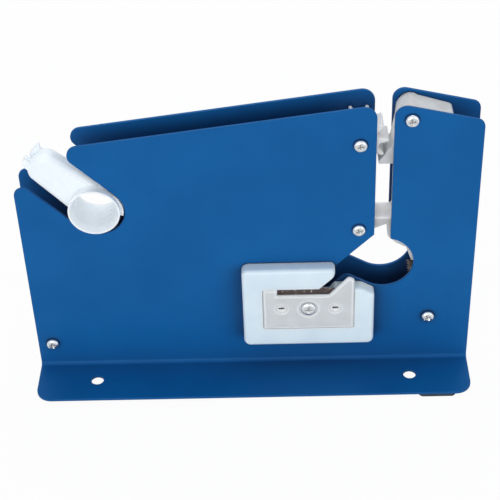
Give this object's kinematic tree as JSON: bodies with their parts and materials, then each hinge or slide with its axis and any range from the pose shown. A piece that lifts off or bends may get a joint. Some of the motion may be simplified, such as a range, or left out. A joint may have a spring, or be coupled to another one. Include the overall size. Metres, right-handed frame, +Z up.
{
  "type": "bag neck sealer",
  "caption": "Tabletop bag neck taping device: two bent sheet plates with a neck slot, star wheel, sprung press lever, tape knife, bag trimmer and slotted tape hub.",
  "frame": {"origin": "centre of the footprint, on the table surface under the foot pads", "axes": "+X along the base towards the neck slot, +Z up, -Y the front, where the trimmer sits"},
  "size_m": [0.18, 0.0584, 0.1262],
  "materials": {
    "blue_paint": "satin blue powder coat on bent sheet steel",
    "zinc_steel": "bright zinc-plated steel",
    "spring_steel": "drawn spring wire",
    "blade_steel": "dark hardened steel with a bright cutting edge",
    "white_nylon": "natural white moulded nylon, slightly milky",
    "milky_plastic": "milky grey-white moulded plastic",
    "trimmer_plastic": "pale blue-white moulded plastic",
    "cover_plastic": "milky translucent plastic",
    "hub_plastic": "smooth white moulded plastic with a blue cast",
    "pad_rubber": "thin dark rubber pad"
  },
  "bodies": {
    "frame": {"front_plate": "blue_paint", "rear_plate": "blue_paint", "front_screws": "zinc_steel", "rear_screws": "zinc_steel", "left_spacer": "zinc_steel", "right_spacer": "zinc_steel", "guide_spacer": "zinc_steel", "wheel_axle": "zinc_steel", "lever_pivot": "zinc_steel", "tape_guide": "white_nylon", "wheel_washers": "white_nylon", "lever_washers": "white_nylon", "knife_block": "white_nylon", "lever_spring": "spring_steel", "tape_knife": "blade_steel", "knife_screw": "zinc_steel", "trimmer_body": "trimmer_plastic", "trimmer_blade": "blade_steel", "trimmer_cover": "cover_plastic", "trimmer_screw": "zinc_steel", "trimmer_nut": "zinc_steel", "foot_pads": "pad_rubber"},
    "wheel": {"star_wheel": "white_nylon"},
    "lever": {"press_lever": "milky_plastic"},
    "hub": {"tape_hub": "hub_plastic"}
  },
  "joints": [
    {"name": "wheel_spin", "type": "hinge", "parent": "frame", "child": "wheel", "pos_m": [0.0437, 0, 0.1099], "axis": [0, 1, 0], "continuous": true},
    {"name": "lever_swing", "type": "hinge", "parent": "frame", "child": "lever", "pos_m": [0.0627, 0, 0.1205], "axis": [0, -1, 0], "range_deg": [0, 9], "stiffness_Nm_per_rad": 0.05, "springref_deg": -11.46, "deforming": ["lever_spring"]},
    {"name": "hub_slide", "type": "slide", "parent": "frame", "child": "hub", "axis": [-0.7071, 0, 0.7071], "range_m": [0, 0.03]}
  ]
}
